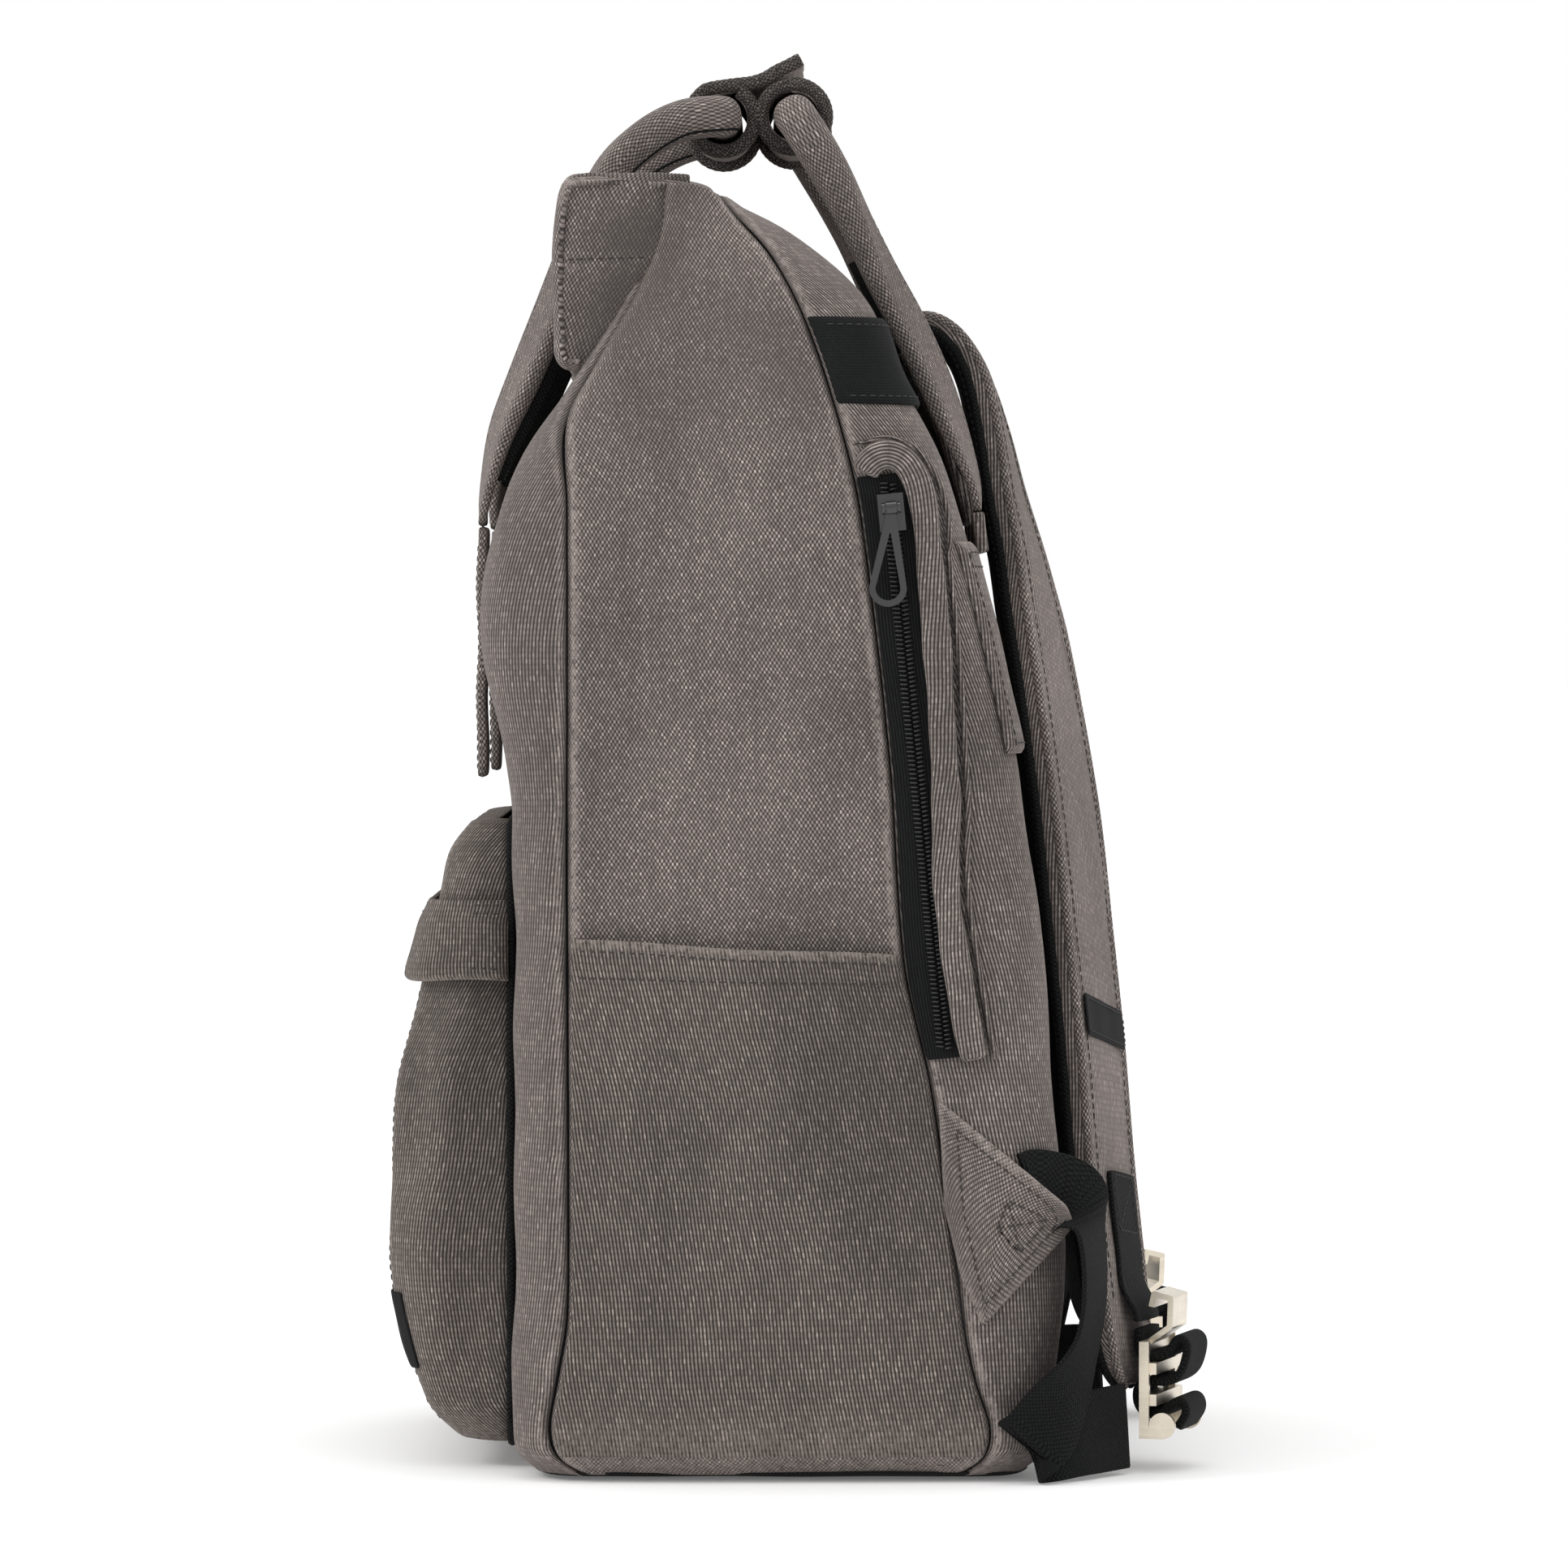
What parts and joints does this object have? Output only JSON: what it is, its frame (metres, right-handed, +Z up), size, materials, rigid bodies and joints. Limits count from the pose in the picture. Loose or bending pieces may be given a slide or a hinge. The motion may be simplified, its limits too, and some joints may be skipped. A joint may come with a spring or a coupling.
{
  "type": "roll-top travel backpack",
  "caption": "Standing canvas travel backpack with a folded roll top, two carry handles wrapped together, padded shoulder straps, a zipped front pocket and side pockets.",
  "frame": {"origin": "on the floor the bag stands on, under the middle of its side panels and halfway across", "axes": "+Z up, +X to the side with the long zip, -Y out of the front pocket, +Y out of the wearer's side"},
  "size_m": [0.324, 0.2894, 0.4992],
  "materials": {
    "canvas": "washed taupe-grey cotton canvas",
    "canvas_pocket": "washed ribbed canvas, a shade darker",
    "base_cloth": "coated black cloth",
    "lining_cloth": "plain black lining",
    "board": "thin stiffener",
    "foam": "closed-cell foam",
    "webbing": "black woven webbing",
    "mesh": "black spacer mesh",
    "piping": "dark edge binding",
    "zip_tape": "black woven tape",
    "zip_coil": "black nylon coil",
    "black_metal": "gloss black",
    "nickel": "warm satin nickel",
    "label": "plain black woven label"
  },
  "bodies": {
    "bag": {"front_panel": "canvas", "back_panel": "canvas", "side_panel_right": "canvas", "side_panel_left": "canvas", "front_handle_anchor_right": "canvas", "front_handle_anchor_left": "canvas", "back_handle_anchor_right": "canvas", "back_handle_anchor_left": "canvas", "strap_root_right": "canvas", "strap_root_left": "canvas", "strap_tab_right": "canvas", "strap_tab_left": "canvas", "back_pocket_panel": "canvas", "side_zip_placket": "canvas", "side_pocket_right": "canvas_pocket", "side_pocket_left": "canvas_pocket", "pocket_face": "canvas_pocket", "pocket_top": "canvas_pocket", "pocket_gusset": "canvas_pocket", "pocket_flap_side_right": "canvas_pocket", "pocket_flap_side_left": "canvas_pocket", "base_panel": "base_cloth", "lining": "lining_cloth", "laptop_divider": "lining_cloth", "base_board": "board", "back_foam": "foam", "yoke_band": "webbing", "lower_webbing_right": "webbing", "lower_webbing_left": "webbing", "pocket_piping": "piping", "side_zip_tape": "zip_tape", "pocket_zip_tape": "zip_tape", "side_zip_coil": "zip_coil", "pocket_zip_coil": "zip_coil", "pocket_label": "label"},
    "front_handle": {"front_handle": "canvas", "front_wrap": "canvas"},
    "roll_top": {"roll_top": "canvas"},
    "back_handle": {"back_handle": "canvas", "back_wrap": "canvas"},
    "strap_right": {"strap_pad_right": "canvas", "strap_mesh_right": "mesh", "strap_webbing_right": "webbing", "strap_label": "label"},
    "strap_left": {"strap_pad_left": "canvas", "strap_mesh_left": "mesh", "strap_webbing_left": "webbing"},
    "buckle_right": {"buckle_right": "nickel", "buckle_webbing_right": "webbing"},
    "buckle_left": {"buckle_left": "nickel", "buckle_webbing_left": "webbing"},
    "side_slider": {"side_zip_slider": "black_metal"},
    "side_puller": {"side_zip_puller": "black_metal"},
    "pocket_flap": {"pocket_flap": "canvas_pocket"},
    "pocket_slider": {"pocket_zip_slider": "black_metal"},
    "pocket_puller": {"pocket_zip_puller": "black_metal"}
  },
  "joints": [
    {"name": "front_handle_swing", "type": "hinge", "parent": "bag", "child": "front_handle", "pos_m": [0, -0.1062, 0.3306], "axis": [1, 0, 0], "range_deg": [0, 100]},
    {"name": "roll_top_open", "type": "hinge", "parent": "bag", "child": "roll_top", "pos_m": [0, -0.029, 0.4496], "axis": [-1, 0, 0], "range_deg": [0, 70]},
    {"name": "back_handle_swing", "type": "hinge", "parent": "bag", "child": "back_handle", "pos_m": [0, 0.073, 0.3354], "axis": [-1, 0, 0], "range_deg": [0, 50]},
    {"name": "right_strap_swing", "type": "hinge", "parent": "bag", "child": "strap_right", "pos_m": [0.024, 0.041, 0.3968], "axis": [1, 0, 0], "range_deg": [0, 15]},
    {"name": "left_strap_swing", "type": "hinge", "parent": "bag", "child": "strap_left", "pos_m": [-0.024, 0.041, 0.3968], "axis": [1, 0, 0], "range_deg": [0, 15]},
    {"name": "right_buckle_swing", "type": "hinge", "parent": "strap_right", "child": "buckle_right", "pos_m": [0.09439, 0.13039, 0.0513], "axis": [0.9613, -0.2756, 0], "range_deg": [0, 20]},
    {"name": "left_buckle_swing", "type": "hinge", "parent": "strap_left", "child": "buckle_left", "pos_m": [-0.09439, 0.13039, 0.0513], "axis": [0.9613, 0.2756, 0], "range_deg": [0, 20]},
    {"name": "side_zip_slide", "type": "slide", "parent": "bag", "child": "side_slider", "axis": [0, 0.099, -0.9951], "range_m": [0, 0.17]},
    {"name": "side_puller_lift", "type": "hinge", "parent": "side_slider", "child": "side_puller", "pos_m": [0.1575, 0.03939, 0.33704], "axis": [0, -0.9951, -0.099], "range_deg": [0, 100]},
    {"name": "pocket_flap_lift", "type": "hinge", "parent": "bag", "child": "pocket_flap", "pos_m": [0, -0.1221, 0.2], "axis": [-1, 0, 0], "range_deg": [0, 100]},
    {"name": "pocket_zip_slide", "type": "slide", "parent": "bag", "child": "pocket_slider", "axis": [1, 0, 0], "range_m": [0, 0.147]},
    {"name": "pocket_puller_turn", "type": "hinge", "parent": "pocket_slider", "child": "pocket_puller", "pos_m": [-0.0735, -0.1249, 0.1854], "axis": [0, -0.9806, 0.1961], "range_deg": [-40, 40]}
  ],
  "couplings": [
    {"joint": "roll_top_open", "follows": "front_handle_swing", "ratio": 0.7}
  ]
}
